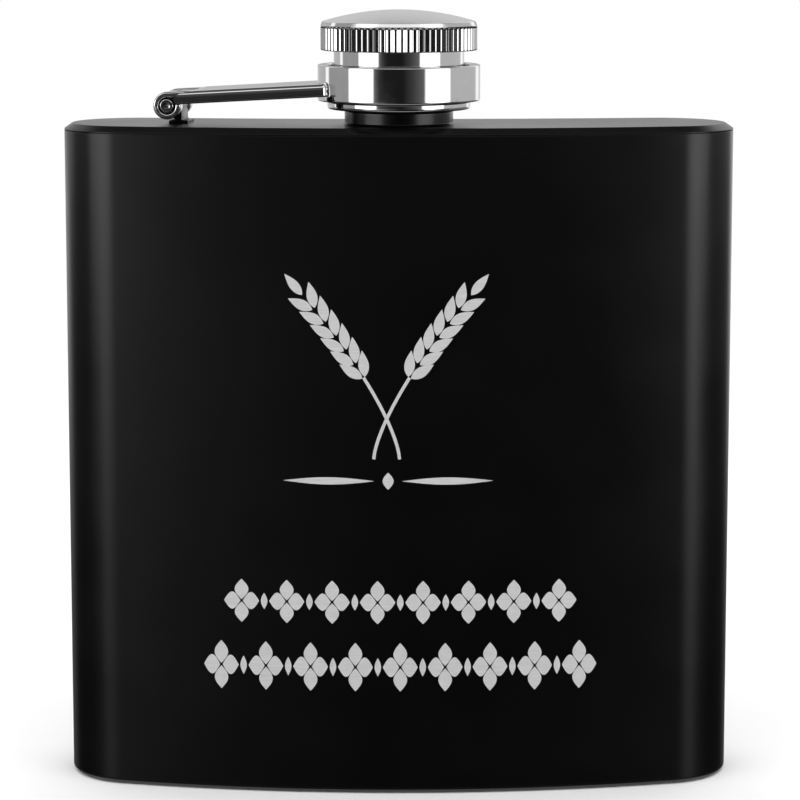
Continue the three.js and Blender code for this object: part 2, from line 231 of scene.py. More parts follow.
def prism(name, outline, low, high, edge, place):
    """An outline in X and Z made solid between two values of Y, with its two rims rounded."""
    mesh = bpy.data.meshes.new(name)
    bm = bmesh.new()
    near = bm.faces.new([bm.verts.new(Vector((x, low, z)) * MM) for x, z in outline])
    pushed = bmesh.ops.extrude_face_region(bm, geom=[near])["geom"]
    verts = [v for v in pushed if isinstance(v, bmesh.types.BMVert)]
    bmesh.ops.translate(bm, verts=verts, vec=Vector((0, (high - low) * MM, 0)))
    if edge:
        rims = [e for e in bm.edges if abs(e.verts[0].co.y - e.verts[1].co.y) < MM * 1e-4]
        bmesh.ops.bevel(bm, geom=rims, offset=edge * MM, segments=4, profile=0.5, affect="EDGES")
    bmesh.ops.recalc_face_normals(bm, faces=bm.faces)
    bm.transform(place)
    bm.to_mesh(mesh)
    bm.free()
    made = bpy.data.objects.new(name, mesh)
    bpy.context.scene.collection.objects.link(made)
    return made


def combine(target, other, operation):
    """Joins other to target, or cuts it away, and removes it."""
    modifier = target.modifiers.new("combine", "BOOLEAN")
    modifier.operation = operation
    modifier.solver = "EXACT"
    modifier.object = other
    bpy.context.view_layer.update()
    shaped = target.evaluated_get(bpy.context.evaluated_depsgraph_get())
    result = bpy.data.meshes.new_from_object(shaped)
    target.modifiers.clear()
    target.data = result
    bpy.data.objects.remove(other)


def finished(piece, body, materials, replaced=(), crease=35):
    """Gives a piece its materials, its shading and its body."""
    piece.data.materials.clear()
    for material in materials:
        piece.data.materials.append(material)
    piece.data.shade_smooth()
    piece.data.set_sharp_from_angle(angle=math.radians(crease))
    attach(piece, body)
    if replaced:
        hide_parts(*replaced)


NECK_PLACE = Matrix.Translation(Vector((0, NECK_Y, SHOULDER)) * MM)
HINGE_PLACE = NECK_PLACE @ Matrix.Rotation(-HINGE_SKEW, 4, "Z")


# ---- Materials ----------------------------------------------------------------------------------


def shader(name, metallic, **settings):
    """A material with a Principled shader, and its nodes and links."""
    material = bpy.data.materials.new(name)
    material.use_nodes = True
    nodes, links = material.node_tree.nodes, material.node_tree.links
    principled = nodes["Principled BSDF"]
    principled.inputs["Metallic"].default_value = metallic
    for label, value in settings.items():
        principled.inputs[label.replace("_", " ")].default_value = value
    return material, nodes, links, principled


def noise(nodes, links, scale, stretch=(1, 1, 1), detail=3.0):
    """A noise pattern fixed to the object. Its scale is in cells per metre."""
    coordinates = nodes.new("ShaderNodeTexCoord")
    mapping = nodes.new("ShaderNodeMapping")
    mapping.inputs["Scale"].default_value = stretch
    texture = nodes.new("ShaderNodeTexNoise")
    texture.inputs["Scale"].default_value = scale
    texture.inputs["Detail"].default_value = detail
    links.new(coordinates.outputs["Object"], mapping.inputs["Vector"])
    links.new(mapping.outputs["Vector"], texture.inputs["Vector"])
    return texture.outputs["Fac"]


def spread(nodes, links, source, low, high, socket):
    """Maps a pattern to a range of numbers on a socket."""
    ranged = nodes.new("ShaderNodeMapRange")
    ranged.inputs["From Min"].default_value = 0.3
    ranged.inputs["From Max"].default_value = 0.7
    ranged.inputs["To Min"].default_value = low
    ranged.inputs["To Max"].default_value = high
    links.new(source, ranged.inputs["Value"])
    links.new(ranged.outputs["Result"], socket)


def tint(nodes, links, source, dark, light, socket):
    """Maps a pattern to a range of greys or colours on a socket."""
    ramp = nodes.new("ShaderNodeValToRGB")
    ramp.color_ramp.elements[0].position = 0.3
    ramp.color_ramp.elements[1].position = 0.7
    ramp.color_ramp.elements[0].color = (*dark, 1)
    ramp.color_ramp.elements[1].color = (*light, 1)
    links.new(source, ramp.inputs["Fac"])
    links.new(ramp.outputs["Color"], socket)


def relief(nodes, links, source, strength, depth, principled):
    """A fine bump. depth is in metres."""
    bump = nodes.new("ShaderNodeBump")
    bump.inputs["Strength"].default_value = strength
    bump.inputs["Distance"].default_value = depth
    links.new(source, bump.inputs["Height"])
    links.new(bump.outputs["Normal"], principled.inputs["Normal"])


def black_coat():
    """Matt black coating: a fine eggshell texture, and faint differences in sheen."""
    material, nodes, links, principled = shader("black_coat", 0.0, IOR=1.5)
    colour = principled.inputs["Base Color"]
    tint(nodes, links, noise(nodes, links, 60), (0.0014,) * 3, (0.0022,) * 3, colour)
    spread(nodes, links, noise(nodes, links, 90), 0.22, 0.27, principled.inputs["Roughness"])
    relief(nodes, links, noise(nodes, links, 4200, detail=2.0), 0.12, 0.00002, principled)
    return material


def polished_steel():
    """Mirror-polished steel: faint polishing marks, and slightly uneven gloss."""
    material, nodes, links, principled = shader("polished_steel", 1.0)
    colour = principled.inputs["Base Color"]
    tint(nodes, links, noise(nodes, links, 300), (0.64, 0.64, 0.645), (0.7, 0.7, 0.705), colour)
    spread(nodes, links, noise(nodes, links, 700), 0.03, 0.07, principled.inputs["Roughness"])
    relief(nodes, links, noise(nodes, links, 160, detail=1.0), 0.1, 0.00004, principled)
    return material


def brushed_steel():
    """Satin steel with straight brushing marks along X."""
    material, nodes, links, principled = shader("brushed_steel", 1.0)
    grain = noise(nodes, links, 1.0, stretch=(120, 9000, 9000), detail=4.0)
    tint(nodes, links, grain, (0.76,) * 3, (0.86,) * 3, principled.inputs["Base Color"])
    spread(nodes, links, grain, 0.3, 0.42, principled.inputs["Roughness"])
    relief(nodes, links, grain, 0.15, 0.00002, principled)
    return material


def knurl_valley_painted_shade():
    """Near-black steel on the floor of the knurling's valleys: painted shade standing in for the deep
    valleys' shadow.
    """
    material, nodes, links, principled = shader("knurl_valley_painted_shade", 0.9)
    colour = principled.inputs["Base Color"]
    tint(nodes, links, noise(nodes, links, 1500), (0.006,) * 3, (0.02,) * 3, colour)
    spread(nodes, links, noise(nodes, links, 900), 0.4, 0.6, principled.inputs["Roughness"])
    relief(nodes, links, noise(nodes, links, 6000), 0.2, 0.00002, principled)
    return material


def engraved_steel():
    """Bare steel where the coating is burnt away: pale, dull, with the laser's fine lines."""
    material, nodes, links, principled = shader("engraved_steel", 0.25)
    lines = noise(nodes, links, 1.0, stretch=(400, 400, 12000), detail=2.0)
    tint(nodes, links, lines, (0.54,) * 3, (0.66,) * 3, principled.inputs["Base Color"])
    spread(nodes, links, lines, 0.5, 0.65, principled.inputs["Roughness"])
    relief(nodes, links, lines, 0.2, 0.00001, principled)
    return material


def moulded(name, dark, light, roughness):
    """A moulded plastic or rubber: a soft, fine texture."""
    material, nodes, links, principled = shader(name, 0.0)
    tint(nodes, links, noise(nodes, links, 400), dark, light, principled.inputs["Base Color"])
    sheen = noise(nodes, links, 900)
    spread(nodes, links, sheen, roughness - 0.06, roughness + 0.06, principled.inputs["Roughness"])
    relief(nodes, links, noise(nodes, links, 5000), 0.1, 0.00002, principled)
    return material


BLACK = black_coat()
POLISHED = polished_steel()
BRUSHED = brushed_steel()
# Painted shade: near-black steel for the floors of the knurling's valleys.
KNURL_VALLEY_SHADE = knurl_valley_painted_shade()
ENGRAVED = engraved_steel()
LINER = moulded("liner_plastic", (0.74, 0.72, 0.67), (0.82, 0.8, 0.76), 0.45)
RUBBER = moulded("gasket_silicone", (0.62, 0.58, 0.5), (0.7, 0.66, 0.58), 0.65)


# ---- Body ---------------------------------------------------------------------------------------


def body_sleeve():
    low, high = (corner.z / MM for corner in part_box("body_sleeve"))
    corners = [(0, low, 0.06), (0, high, 0.06), (SHEET, high, 0.06), (SHEET, low, 0.06)]
    piece = kidney("sleeve", soften(corners, closed=True, steps=3), capped=False)
    finished(piece, "flask", [BLACK], ["body_sleeve"])


def end_plate(name, face, into, inset, drop, soft):
    """A pressed plate with a bevelled rim. face is its outer face's height, and into points inside."""
    land, gap, spigot_depth = 0.12, 0.1, 1.8
    seam = face + into * (drop + land)
    spigot = SHEET + gap
    profile = [
        (inset, face, soft),
        (0, face + into * drop, soft),
        (0, seam, 0.04),
        (spigot, seam, 0),
        (spigot, seam + into * spigot_depth, 0.1),
        (spigot + SHEET, seam + into * spigot_depth, 0.1),
        (spigot + SHEET, face + into * STRAP, 0),
    ]
    path = soften([(inset + 1.5, face, 0)] + profile, closed=False, steps=5)
    return kidney(name, path, capped=True)


def body_plates():
    shoulder = end_plate("shoulder", SHOULDER, -1, 1.15, 0.8, 0.35)
    hole, reach = 6.9, 5
    drill = lathe("drill", [(0, -reach), (hole, -reach), (hole, reach), (0, reach)])
    combine(shoulder, drill, "DIFFERENCE")
    finished(shoulder, "flask", [BLACK], ["top_plate"])
    base = end_plate("base", 0, 1, 0.55, 0.55, 0.45)
    finished(base, "flask", [BLACK], ["base_plate"])


def thread_share(z, angle, start, turns):
    """How far a screw thread stands out at a height and an angle: 0 on the root, 1 on the crest."""
    best = 0.0
    for wrap in range(-1, math.ceil(turns) + 1):
        turn = angle / (2 * math.pi) + wrap
        if not 0 <= turn <= turns:
            continue
        away = abs(z - start - PITCH * turn)
        ridge = min(1.0, max(0.0, (THREAD_HALF_FOOT - away) / THREAD_FLANK))
        best = max(best, ridge * min(1.0, turn / THREAD_FADE, (turns - turn) / THREAD_FADE))
    return best * best * (3 - 2 * best)


def rows(low, high, step):
    """Heights from low to high, a step apart at most."""
    count = math.ceil(abs(high - low) / step)
    return [low + (high - low) * i / count for i in range(1, count)]


def neck():
    collar, root, bore, top = 7.65, 6.35, 5.4, 9.2
    thread_foot = 2.2
    outer = soften(
        [
            (bore, -2.4, 0),
            (6.6, -2.4, 0),
            (6.6, 0.01, 0),
            (collar + 0.25, 0.01, 0),
            (collar, 0.28, 0.2),
            (collar, 2.0, 0.3),
            (root, 2.05, 0.1),
            (root, 2.3, 0),
        ],
        closed=False,
    )
    outer += [(root, z) for z in rows(2.3, top - 0.35, THREAD_ROW)]
    outer += soften(
        [(root, top - 0.35, 0), (root, top, 0.25), (bore, top, 0.25), (bore, -2.0, 0)],
        closed=False,
    )

    def threaded(r, z, angle):
        if z < thread_foot or abs(r - root) > SAME_WALL:
            return r
        return r + THREAD_RISE * thread_share(z, angle, **NECK_THREAD)

    piece = lathe("spout", outer, 192, threaded)
    finished(piece, "flask", [BLACK], ["neck"])


# ---- Cap ----------------------------------------------------------------------------------------


def dome_height(r):
    return DOME["apex"] - DOME["radius"] + math.sqrt(DOME["radius"] ** 2 - r**2)


def knurled(r, z, angle):
    """Cuts the straight knurling into the shell's wall, fading out under the bead."""
    if r < KNURL["radius"] - 0.35 or z < KNURL["bottom"] - 0.01 or z > KNURL["top"] + KNURL["fade"]:
        return r
    phase = angle * KNURL["teeth"] / (2 * math.pi)
    groove = abs(math.sin(math.pi * phase))
    fade = min(1.0, (KNURL["top"] + KNURL["fade"] - z) / KNURL["fade"])
    fade = fade * fade * (3 - 2 * fade)
    return r - KNURL["depth"] * groove * fade


def cap_shell():
    edge, wall = DOME["edge"], KNURL["radius"]
    dome_steps, rim_top, lip, head = 26, dome_height(edge), 9.4, 10.2
    ceiling = 13.7
    dome = [(edge * i / dome_steps, dome_height(edge * i / dome_steps)) for i in range(dome_steps)]
    rim = soften(
        [
            (edge, rim_top, 0),
            (wall - 0.22, rim_top - 0.1, 0.1),
            (wall, rim_top - 0.6, 0.08),
            (wall, KNURL["top"] + KNURL["fade"], 0),
        ],
        closed=False,
        steps=8,
    )
    skirt = [(wall, z) for z in rows(KNURL["top"] + KNURL["fade"], KNURL["bottom"] + 0.4, 0.12)]
    foot = soften(
        [
            (wall, KNURL["bottom"] + 0.4, 0),
            (wall, KNURL["bottom"], 0.22),
            (lip, KNURL["bottom"], 0.1),
            (lip, KNURL["bottom"] + 0.5, 0.1),
            (head, KNURL["bottom"] + 0.5, 0),
            (head, ceiling, 0.3),
            (0, ceiling, 0),
        ],
        closed=False,
    )
    columns = KNURL["teeth"] * COLUMNS_PER_TOOTH
    piece = lathe("knurled_cap", dome + rim + skirt + foot, columns, knurled)
    # finished() clears the materials, which resets each face's index, so the indices come after it.
    finished(piece, "cap", [BRUSHED, POLISHED, KNURL_VALLEY_SHADE], ["cap_shell"], crease=50)
    domed = (SHOULDER + rim_top - 0.02) * MM
    cut = (SHOULDER + KNURL["top"]) * MM
    crest = (KNURL["radius"] - 0.9 * KNURL["depth"]) * MM
    uncut = (KNURL["radius"] - 1.1 * KNURL["depth"]) * MM
    for face in piece.data.polygons:
        out = math.hypot(face.center.x, face.center.y - NECK_Y * MM)
        if face.center.z > domed:
            face.material_index = 0
        # Faces on the knurling's valley floor get the near-black painted shade material.
        elif face.center.z < cut and uncut < out < crest:
            face.material_index = 2
        else:
            face.material_index = 1


def cap_sleeve():
    corners = [
        (8.5, 2.13, 0.12),
        (10.07, 2.13, 0.5),
        (10.07, 3.15, 0.12),
        (9.18, 3.15, 0.1),
        (9.18, 10.95, 0.05),
        (9.95, 10.95, 0.1),
        (9.95, 11.55, 0.1),
        (8.5, 11.55, 0.1),
    ]
    piece = lathe("flanged_sleeve", soften(corners, closed=True))
    finished(piece, "cap", [POLISHED], ["cap_sleeve"])


def thread_liner():
    bore, outside, bottom, ceiling, top = 7.9, 8.4, 2.5, 10.65, 11.5
    thread_low, thread_high = 2.8, 9.2
    profile = soften([(0, ceiling, 0), (bore, ceiling, 0.2), (bore, thread_high, 0)], closed=False)
    profile += [(bore, z) for z in rows(thread_high, thread_low, THREAD_ROW)]
    profile += soften(
        [
            (bore, thread_low, 0),
            (bore, bottom, 0.15),
            (outside, bottom, 0.15),
            (outside, top, 0.15),
            (0, top, 0),
        ],
        closed=False,
    )

    def threaded(r, z, angle):
        if abs(r - bore) > SAME_WALL or not thread_low <= z <= thread_high:
            return r
        return r - THREAD_RISE * thread_share(z, angle, **LINER_THREAD)

    piece = lathe("threaded_liner", profile, 192, threaded)
    finished(piece, "cap", [LINER], ["thread_liner"])


def cap_gasket():
    corners = [
        (0, 9.4, 0),
        (5.0, 9.4, 0.2),
        (5.2, 9.55, 0.1),
        (7.7, 9.55, 0.3),
        (7.7, 10.6, 0.2),
        (0, 10.6, 0),
    ]
    piece = lathe("seal", soften(corners, closed=False), 128)
    finished(piece, "cap", [RUBBER], ["cap_gasket"])


def retaining_ring():
    corners = [
        (9.5, 3.3, 0.12),
        (RING_RADIUS, 3.3, 0.2),
        (RING_RADIUS, 8.35, 0.2),
        (10.15, 8.35, 0.2),
        (10.15, 4.2, 0.1),
        (9.5, 4.2, 0.12),
    ]
    piece = lathe("ring", soften(corners, closed=True))
    finished(piece, "lid_arm", [POLISHED], ["retaining_ring"])


# ---- Hinge and arm, drawn with the arm along X and the pin along Y ------------------------------

ARM_RUN = HINGE_REACH - RING_RADIUS
ARM_RISE = ARM_TOP_AT_RING - PIN_HEIGHT
ARM_SLOPE = math.atan2(ARM_RISE, ARM_RUN) - math.asin(KNUCKLE_RADIUS / math.hypot(ARM_RUN, ARM_RISE))


def arm_top(x):
    return ARM_TOP_AT_RING + (x + RING_RADIUS) * math.tan(ARM_SLOPE)


def hinge_pin():
    radius, half = 0.95, 5.4
    corners = [(0, -half + 0.12, 0), (0.5, -half, 0.1), (radius, -half, 0.25), (radius, half, 0.25)]
    corners += [(0.5, half, 0.1), (0, half - 0.12, 0)]
    centre = Matrix.Translation(Vector((PIN_X, 0, PIN_HEIGHT)) * MM)
    place = HINGE_PLACE @ centre @ Matrix.Rotation(math.pi / 2, 4, "X")
    piece = lathe("pin", soften(corners, closed=False), 64, place=place)
    finished(piece, "flask", [POLISHED], ["hinge_pin"])


def hinge_bracket():
    half, eye, bore = 2.6, 1.75, 1.03
    right, left = 1.65, 0.55
    foot, foot_from, foot_to = 0.4, -0.2, 2.5
    start = -math.acos(right / eye)
    end = 1.5 * math.pi + math.asin(left / eye)
    loop = arc(PIN_X, PIN_HEIGHT, eye, start, end, 60)
    feet = soften(
        [
            (PIN_X + left, 1.2, 0),
            (PIN_X + left, foot, 0.2),
            (PIN_X + foot_from, foot, 0.15),
            (PIN_X + foot_from, 0, 0),
            (PIN_X + foot_to, 0, 0),
            (PIN_X + foot_to, foot, 0.15),
            (PIN_X + right, foot, 0.2),
            (PIN_X + right, 1.8, 0),
        ],
        closed=False,
        steps=5,
    )
    piece = prism("bracket", loop + feet[1:-1], -half, half, 0.1, HINGE_PLACE)
    beyond = half + 0.4
    round_hole = arc(PIN_X, PIN_HEIGHT, bore, 0, 2 * math.pi, 48)
    hole = prism("hole", round_hole, -beyond, beyond, 0, HINGE_PLACE)
    combine(piece, hole, "DIFFERENCE")
    finished(piece, "flask", [BLACK], ["hinge_bracket"])


def weld_fillet(x, y):
    """How far the arm's skin swells at a place near the ring, for a rounded weld into its wall."""
    radius = 0.5
    near = min(radius, max(0.0, radius - (math.hypot(x, y) - RING_RADIUS)))
    return radius - math.sqrt(radius**2 - near**2)


def channel_section(x):
    """The arm's channel at x: a folded strip, with its skin swelling into the ring at its end."""
    half = ARM_HALF_WIDTH + ARM_WIDENING * max(0.0, 1 + (x + RING_RADIUS) / ARM_TAPER_RUN)
    top = arm_top(x)
    low = top - ARM_DEPTH
    fold, lip, skin = 0.95, 0.3, 0.4
    corners = [
        (-half - FLARE, low, lip),
        (-half, top, fold),
        (half, top, fold),
        (half + FLARE, low, lip),
        (half - STRAP + FLARE, low, lip),
        (half - STRAP, top - STRAP, 0.2),
        (-half + STRAP, top - STRAP, 0.2),
        (-half + STRAP - FLARE, low, lip),
    ]
    points = []
    for y, z in soften(corners, closed=True, steps=7):
        swell = weld_fillet(x, y)
        lift = max(0.0, 1 - (top - z) / skin)
        spread_out = max(0.0, 1 - (half - abs(y)) / skin)
        points.append((x, y + math.copysign(swell * min(1.0, spread_out), y), z + swell * lift))
    return points


def curl_outline():
    """A knuckle: the strap runs in from the arm and wraps right round the pin."""
    sink = 0.012
    outer = KNUCKLE_RADIUS - sink
    inner = KNUCKLE_RADIUS - STRAP + sink
    tangent = math.pi / 2 + ARM_SLOPE
    end = math.radians(372)
    into = PIN_X + 4.3
    return (
        [(into, arm_top(into) - sink)]
        + arc(PIN_X, PIN_HEIGHT, outer, tangent, end, 64)
        + arc(PIN_X, PIN_HEIGHT, inner, end, tangent, 48)
        + [(PIN_X + inner * math.cos(tangent), PIN_HEIGHT + inner * math.sin(tangent))]
        + [(into, arm_top(into) - STRAP + sink)]
    )


def tongue_cutters():
    """What is cut from the channel's end: its top between the flanges, and the flanges' corners."""
    tip = PIN_X + 1.1
    top = arm_top(tip)
    slope_run, nose, round_off, past = 3.2, 1.05, 1.2, 7
    over = [(tip + slope_run, top + 2), (tip - 2, top + 2), (tip - 2, top - nose)]
    for i in range(13):
        a = math.pi / 2 * i / 12
        x = tip + slope_run * (1 - math.cos(a))
        over.append((x, arm_top(x) - nose * (1 - math.sin(a)) + (0.02 if i == 12 else 0)))
    under = [(tip - 2, top - nose), (tip - 2, top - 4), (tip + round_off, top - 4)]
    for i in range(9):
        a = math.pi / 2 * i / 8
        rise = (ARM_DEPTH - nose) * (1 - math.cos(a))
        under.append((tip + round_off * (1 - math.sin(a)), arm_top(tip) - ARM_DEPTH + rise))
    slot_end = PIN_X + 3.4
    slot = [(tip - 3, top - 4), (slot_end, top - 4), (slot_end, top + 2), (tip - 3, top + 2)]
    return [(over, past), (under, past), (slot, ARM_HALF_WIDTH - STRAP + 0.1)]


def lid_arm():
    start, end = PIN_X + 1.05, -RING_RADIUS + 2.2
    fillet_from = -RING_RADIUS - 0.9
    stations = [start + (fillet_from - start) * i / 24 for i in range(24)]
    stations += [fillet_from + (end - fillet_from) * i / 32 for i in range(33)]
    piece = loft("arm", [channel_section(x) for x in stations], capped=True, place=HINGE_PLACE)
    for outline, reach in tongue_cutters():
        combine(piece, prism("cutter", outline, -reach, reach, 0, HINGE_PLACE), "DIFFERENCE")
    for side in (-1, 1):
        low, high = sorted(side * end for end in KNUCKLE_SPAN)
        combine(piece, prism("knuckle", curl_outline(), low, high, 0.26, HINGE_PLACE), "UNION")
    clear = RING_RADIUS + 0.02
    hole = [(0, -2), (clear, -2), (clear, 14), (0, 14)]
    combine(piece, lathe("ring_hole", hole), "DIFFERENCE")
    finished(piece, "lid_arm", [POLISHED], ["lid_arm"])


# ---- Engraving: plain ornament, conforming to the bowed front -----------------------------------


def front(x, z, depth):
    """A point on the body's front, depth inside the coating."""
    return (x, NECK_Y + FRONT_CENTRE - math.sqrt((FRONT_RADIUS - depth) ** 2 - x**2), z)


class Engraving:
    """Strips of bare steel, each a row of cross-lines, gathered into one piece."""

    PROUD, BURIED = 0.012, 0.25

    def __init__(self):
        self.points = []
        self.faces = []

    def strip(self, lines):
        """lines are pairs of points across the strip, from one end to the other."""
        base = len(self.points)
        for left, right in lines:
            self.points += [front(*left, -self.PROUD), front(*right, -self.PROUD)]
            self.points += [front(*right, self.BURIED), front(*left, self.BURIED)]
        count = len(lines)
        for i in range(count - 1):
            a, b = base + 4 * i, base + 4 * (i + 1)
            self.faces += [(a + k, a + (k + 1) % 4, b + (k + 1) % 4, b + k) for k in range(4)]
        last = base + 4 * (count - 1)
        self.faces += [(base + 3, base + 2, base + 1, base), (last, last + 1, last + 2, last + 3)]

    def leaf(self, x, z, length, width, angle, belly=0.5, steps=14):
        """An almond shape from its foot, along angle. belly is where it is widest."""
        along = Vector((math.cos(angle), math.sin(angle)))
        across = Vector((-along.y, along.x))
        lines = []
        for i in range(steps + 1):
            t = i / steps
            bulge = math.sin(math.pi * t ** (math.log(0.5) / math.log(belly)))
            half = 0.015 + width / 2 * bulge
            centre = Vector((x, z)) + along * length * t
            lines.append((centre + across * half, centre - across * half))
        self.strip(lines)

    def stroke(self, path, widths):
        """A line of changing width along a path."""
        lines = []
        for i, here in enumerate(path):
            ahead = Vector(path[min(i + 1, len(path) - 1)]) - Vector(path[max(i - 1, 0)])
            across = Vector((-ahead.y, ahead.x)).normalized() * widths[i] / 2
            lines.append((Vector(here) + across, Vector(here) - across))
        self.strip(lines)

    def piece(self, name):
        made = closed_mesh(name, self.points, self.faces)
        finished(made, "flask", [ENGRAVED])


GRAIN_BELLY = 0.42  # a grain is widest this far along it


def barley_ear(engraving, foot, side):
    """One ear of barley on a bowed stalk, leaning to a side."""
    stalk = []
    for i in range(25):
        t = i / 24
        stalk.append((foot[0] + side * (1.8 - 14.5 * t**1.4 + 1.0 * t), foot[1] + 23 * t))
    engraving.stroke(stalk[:13], [0.45] * 13)
    for i in range(12, 23, 2):
        x, z = stalk[i]
        ahead = Vector(stalk[i + 1]) - Vector(stalk[i])
        lean = math.atan2(ahead.y, ahead.x)
        for turn in (-1, 1):
            angle = lean + turn * math.radians(26)
            sideways = lean + turn * math.pi / 2
            off = Vector((math.cos(sideways), math.sin(sideways))) * 0.22
            engraving.leaf(x + off.x, z + off.y, 3.7, 1.45, angle, belly=GRAIN_BELLY)
    x, z = stalk[24]
    ahead = Vector(stalk[24]) - Vector(stalk[23])
    engraving.leaf(x, z, 3.8, 1.3, math.atan2(ahead.y, ahead.x), belly=GRAIN_BELLY)


def lozenge_row(engraving, centre, half_length, height, units):
    """A border of leaf pairs and small lozenges."""
    step, gap = 2 * half_length / units, 0.18
    for i in range(units):
        x = centre[0] - half_length + step * (i + 0.5)
        if i:
            low = centre[1] - height * 0.2
            engraving.leaf(x - step / 2, low, height * 0.4, step * 0.14, math.pi / 2)
        for turn in (0, 1):
            angle = math.pi * turn
            start = x + gap * math.cos(angle)
            engraving.leaf(start, centre[1], step * 0.36, height * 0.42, angle)
        for turn in (0.5, 1.5):
            angle = math.pi * turn
            start = centre[1] + gap * math.sin(angle)
            engraving.leaf(x, start, height * 0.5, step * 0.3, angle)


def engraving():
    emblem = Engraving()
    for side in (-1, 1):
        barley_ear(emblem, (-1.7, 48.0), side)
    emblem.piece("engraved_emblem")
    rule = Engraving()
    for side in (-1, 1):
        rule.leaf(-1.5 + 2.0 * side, 44.9, 12.6, 1.0, 0 if side > 0 else math.pi)
    rule.leaf(-1.5, 43.7, 2.4, 1.5, math.pi / 2)
    rule.piece("engraved_rule")
    upper = Engraving()
    lozenge_row(upper, (0.2, 27.6), 25.5, 5.8, 8)
    upper.piece("engraved_border_upper")
    lower = Engraving()
    lozenge_row(lower, (0.2, 18.3), 28.4, 6.6, 9)
    lower.piece("engraved_border_lower")


# ---- Studio -------------------------------------------------------------------------------------


def floor():
    """A pale floor that fades into the white backdrop with distance."""
    half, under = 3.0, -0.00005  # metres; just under the base, so that their faces don't coincide
    near, far_off = 0.12, 0.5  # metres from the middle, where the fade starts and ends
    corners = [(x * half, y * half, under) for x, y in ((-1, -1), (1, -1), (1, 1), (-1, 1))]
    mesh = bpy.data.meshes.new("floor")
    mesh.from_pydata(corners, [], [(0, 1, 2, 3)])
    made = bpy.data.objects.new("floor", mesh)
    bpy.context.scene.collection.objects.link(made)
    material, nodes, links, principled = shader("pale_floor", 0.0, Roughness=0.9)
    colour = principled.inputs["Base Color"]
    tint(nodes, links, noise(nodes, links, 3), (0.9,) * 3, (0.93,) * 3, colour)
    place = nodes.new("ShaderNodeVectorMath")
    place.operation = "LENGTH"
    links.new(nodes.new("ShaderNodeTexCoord").outputs["Object"], place.inputs[0])
    far = nodes.new("ShaderNodeMapRange")
    far.interpolation_type = "SMOOTHSTEP"
    far.inputs["From Min"].default_value = near
    far.inputs["From Max"].default_value = far_off
    links.new(place.outputs["Value"], far.inputs["Value"])
    sweep = nodes.new("ShaderNodeEmission")
    sweep.inputs["Color"].default_value = (BACKDROP, BACKDROP, BACKDROP, 1)
    blended = nodes.new("ShaderNodeMixShader")
    links.new(far.outputs["Result"], blended.inputs["Fac"])
    links.new(principled.outputs[0], blended.inputs[1])
    links.new(sweep.outputs[0], blended.inputs[2])
    links.new(blended.outputs[0], nodes["Material Output"].inputs["Surface"])
    mesh.materials.append(material)
    made.visible_glossy = False


# Radiance of the studio's walls round the horizon, by the angle from the camera's side, in degrees:
# a dark middle, a tall soft box on each side, and a pale sweep behind. HIGH is what faces the polished
# cap, and LOW is further down, facing the body.
WALLS_HIGH = [
    (-180, 0.76),
    (-163, 0.76),
    (-158, 0.6),
    (-128, 0.6),
    (-125, 1.4),
    (-119, 1.4),
    (-116, 0.42),
    (-76, 0.42),
    (-73, 3.0),
    (-39, 3.0),
    (-35, 0.16),
    (-28, 0.04),
    (-20, 0.014),
    (6, 0.014),
    (20, 0.06),
    (36, 0.16),
    (41, 3.0),
    (75, 3.0),
    (78, 0.62),
    (136, 0.62),
    (146, 1.4),
    (158, 0.76),
    (180, 0.76),
]
WALLS_LOW = [
    (-180, 0.8),
    (-140, 0.8),
    (-124, 0.08),
    (-78, 0.05),
    (-64, 0.12),
    (-57, 1.2),
    (-50, 1.45),
    (-40, 0.9),
    (-30, 0.44),
    (-18, 0.18),
    (0, 0.02),
    (28, 0.03),
    (39, 0.3),
    (46, 1.6),
    (56, 2.0),
    (63, 1.0),
    (72, 0.15),
    (92, 0.06),
    (110, 0.06),
    (136, 0.2),
    (156, 1.2),
    (180, 0.8),
]
WALL_PEAK = 4.0  # the ramps hold radiance as a share of this
OVERHEAD = 0.08  # the ceiling
FRONT_STRIP = 1.15  # a strip light above and in front
FRONT_HAZE = 0.08
BACK_LOW = 0.6  # share left in a low band behind
FLOOR_GLOW = 0.35  # light from below
BOX_TOP = 0.25  # share left above the soft boxes in front
BACKDROP = 1.0


def number(nodes, operation, *values):
    """A Math node. Each value is a number or an output socket."""
    node = nodes.new("ShaderNodeMath")
    node.operation = operation
    for socket, value in zip(node.inputs, values):
        if isinstance(value, (int, float)):
            socket.default_value = value
        else:
            node.id_data.links.new(value, socket)
    return node.outputs[0]


def smooth_step(nodes, value, low, high, start, end):
    """A smooth change from start to end as value, a sine, passes between two angles in degrees."""
    ranged = nodes.new("ShaderNodeMapRange")
    ranged.interpolation_type = "SMOOTHSTEP"
    limits = (math.sin(math.radians(low)), math.sin(math.radians(high)), start, end)
    for label, setting in zip(("From Min", "From Max", "To Min", "To Max"), limits):
        ranged.inputs[label].default_value = setting
    ranged.id_data.links.new(value, ranged.inputs["Value"])
    return ranged.outputs["Result"]


def wall_ramp(nodes, share, walls):
    """The radiance of a band of walls round the horizon."""
    ramp = nodes.new("ShaderNodeValToRGB")
    ramp.id_data.links.new(share, ramp.inputs["Fac"])
    stops = ramp.color_ramp.elements
    while len(stops) < len(walls):
        stops.new(0.5)
    for stop, (angle, radiance) in zip(stops, walls):
        stop.position = angle / 360 + 0.5
        stop.color = (*(radiance / WALL_PEAK,) * 3, 1)
    return number(nodes, "MULTIPLY", ramp.outputs["Color"], WALL_PEAK)


